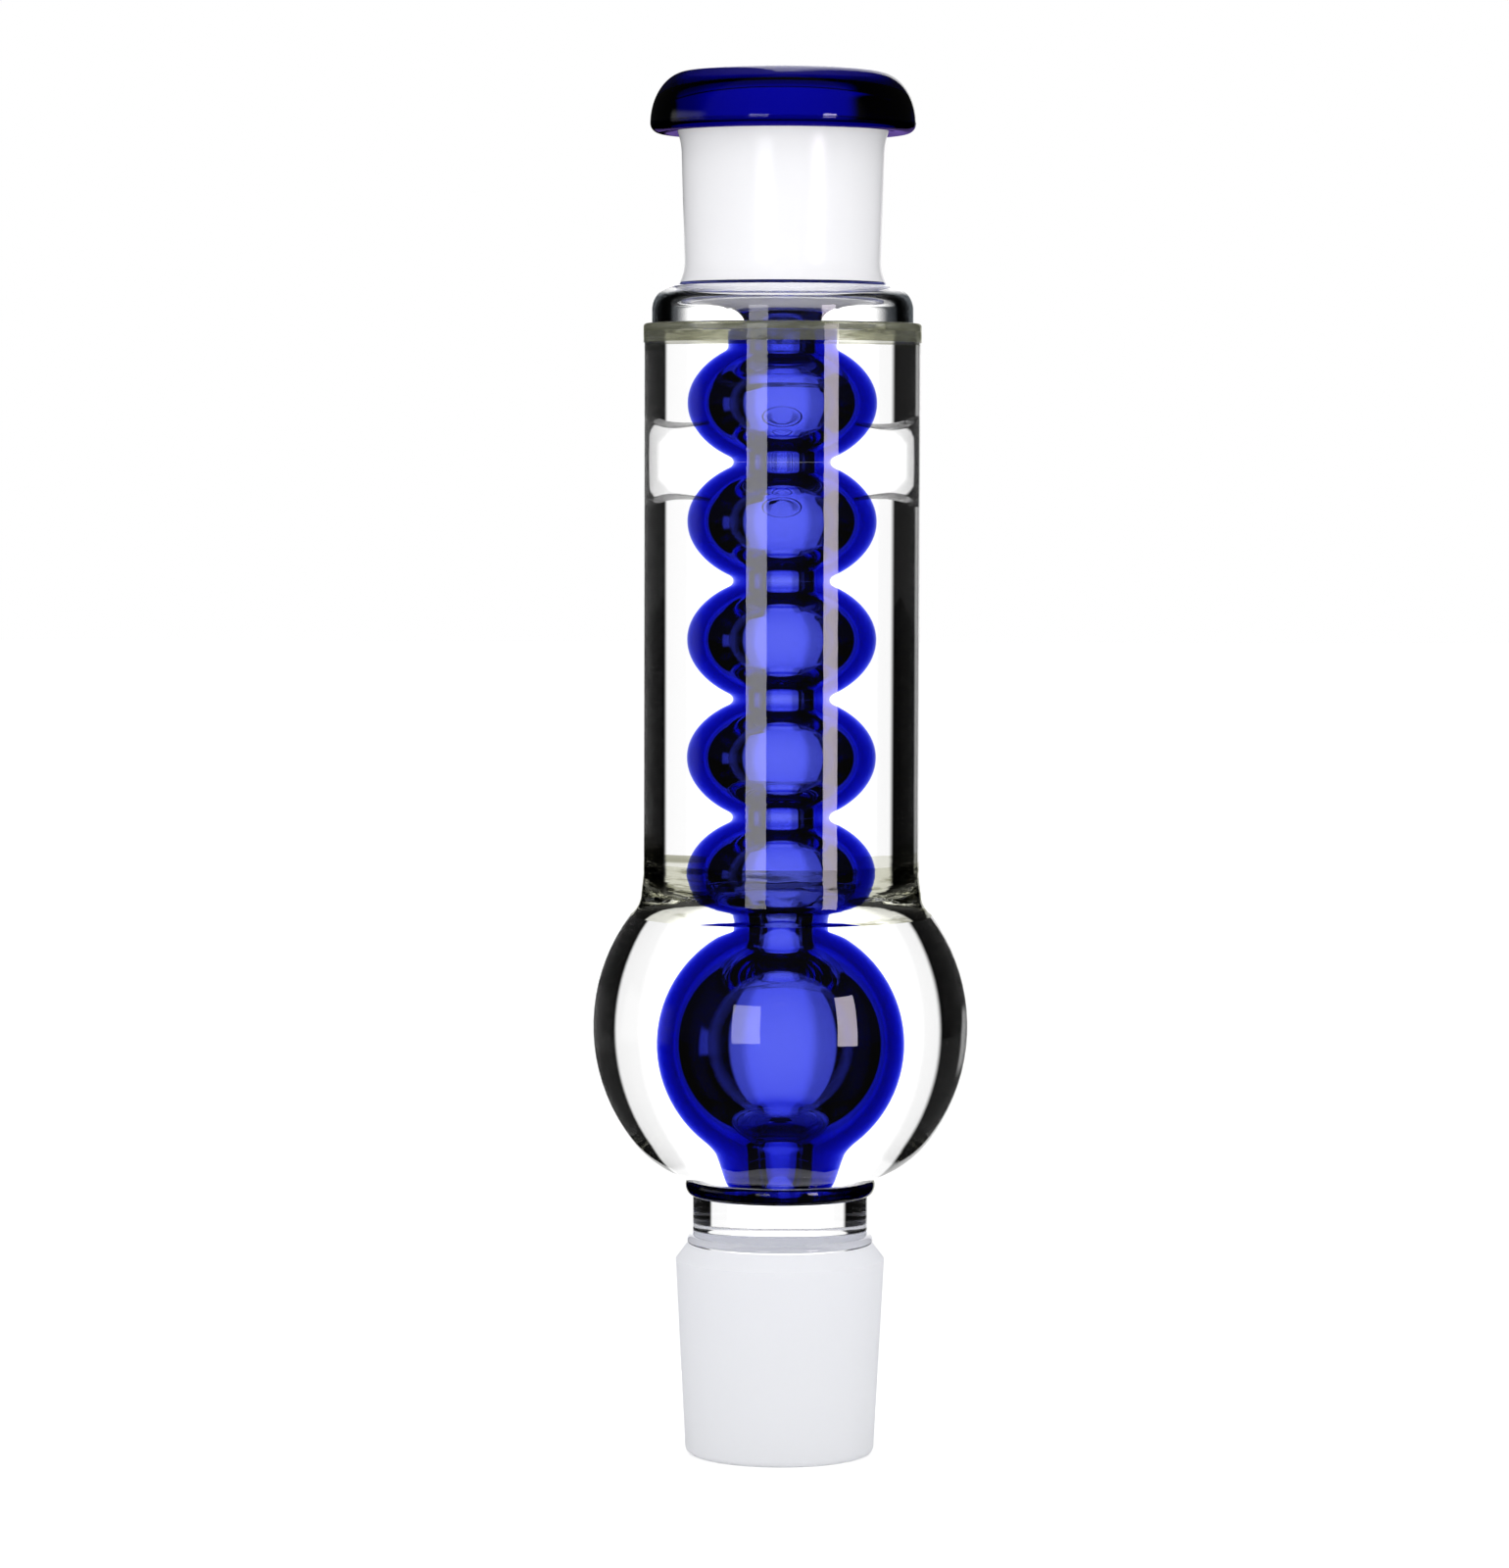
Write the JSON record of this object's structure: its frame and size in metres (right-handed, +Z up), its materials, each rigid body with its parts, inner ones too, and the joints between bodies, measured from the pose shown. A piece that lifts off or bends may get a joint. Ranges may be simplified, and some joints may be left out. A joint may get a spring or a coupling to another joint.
{
  "type": "allihn bulb condenser",
  "caption": "Fused glass bulb condenser: a cobalt bulb string in a sealed glycerine jacket, with an opal neck, a rolled lip and a frosted ground cone.",
  "frame": {"origin": "on the table, under the middle of the ground cone's lower end", "axes": "+Z up along the condenser's axis, towards the mouth; +Y towards the side with the fill port"},
  "size_m": [0.062, 0.0618, 0.2275],
  "materials": {
    "clear_glass": "clear fire-polished borosilicate glass",
    "seam_glass": "clear glass with a faint olive streak where the tubes were fused",
    "frosted_glass": "finely ground, matt white",
    "cobalt_glass": "transparent cobalt blue, glossy",
    "opal_glass": "opaque white opal, glossy",
    "glycerine": "clear colourless liquid"
  },
  "bodies": {
    "root": {"ground_joint": "frosted_glass", "cone_seal_ring": "clear_glass", "lower_neck": "clear_glass", "lower_seal_ring": "seam_glass", "jacket_floor": "clear_glass", "jacket_bulb": "clear_glass", "middle_seal_ring": "seam_glass", "jacket_tube": "clear_glass", "upper_seal_ring": "seam_glass", "jacket_shoulder": "clear_glass", "fill_port_seal": "clear_glass", "neck_seal_ring": "cobalt_glass", "opal_neck": "opal_glass", "opal_funnel": "opal_glass", "mouth_lip": "cobalt_glass", "inlet_stub": "cobalt_glass", "condenser_bulb_1": "cobalt_glass", "condenser_bulb_2": "cobalt_glass", "condenser_bulb_3": "cobalt_glass", "condenser_bulb_4": "cobalt_glass", "condenser_bulb_5": "cobalt_glass", "link_neck": "cobalt_glass", "large_bulb": "cobalt_glass", "outlet_tail": "cobalt_glass", "glycerine_fill": "glycerine"}
  },
  "joints": []
}
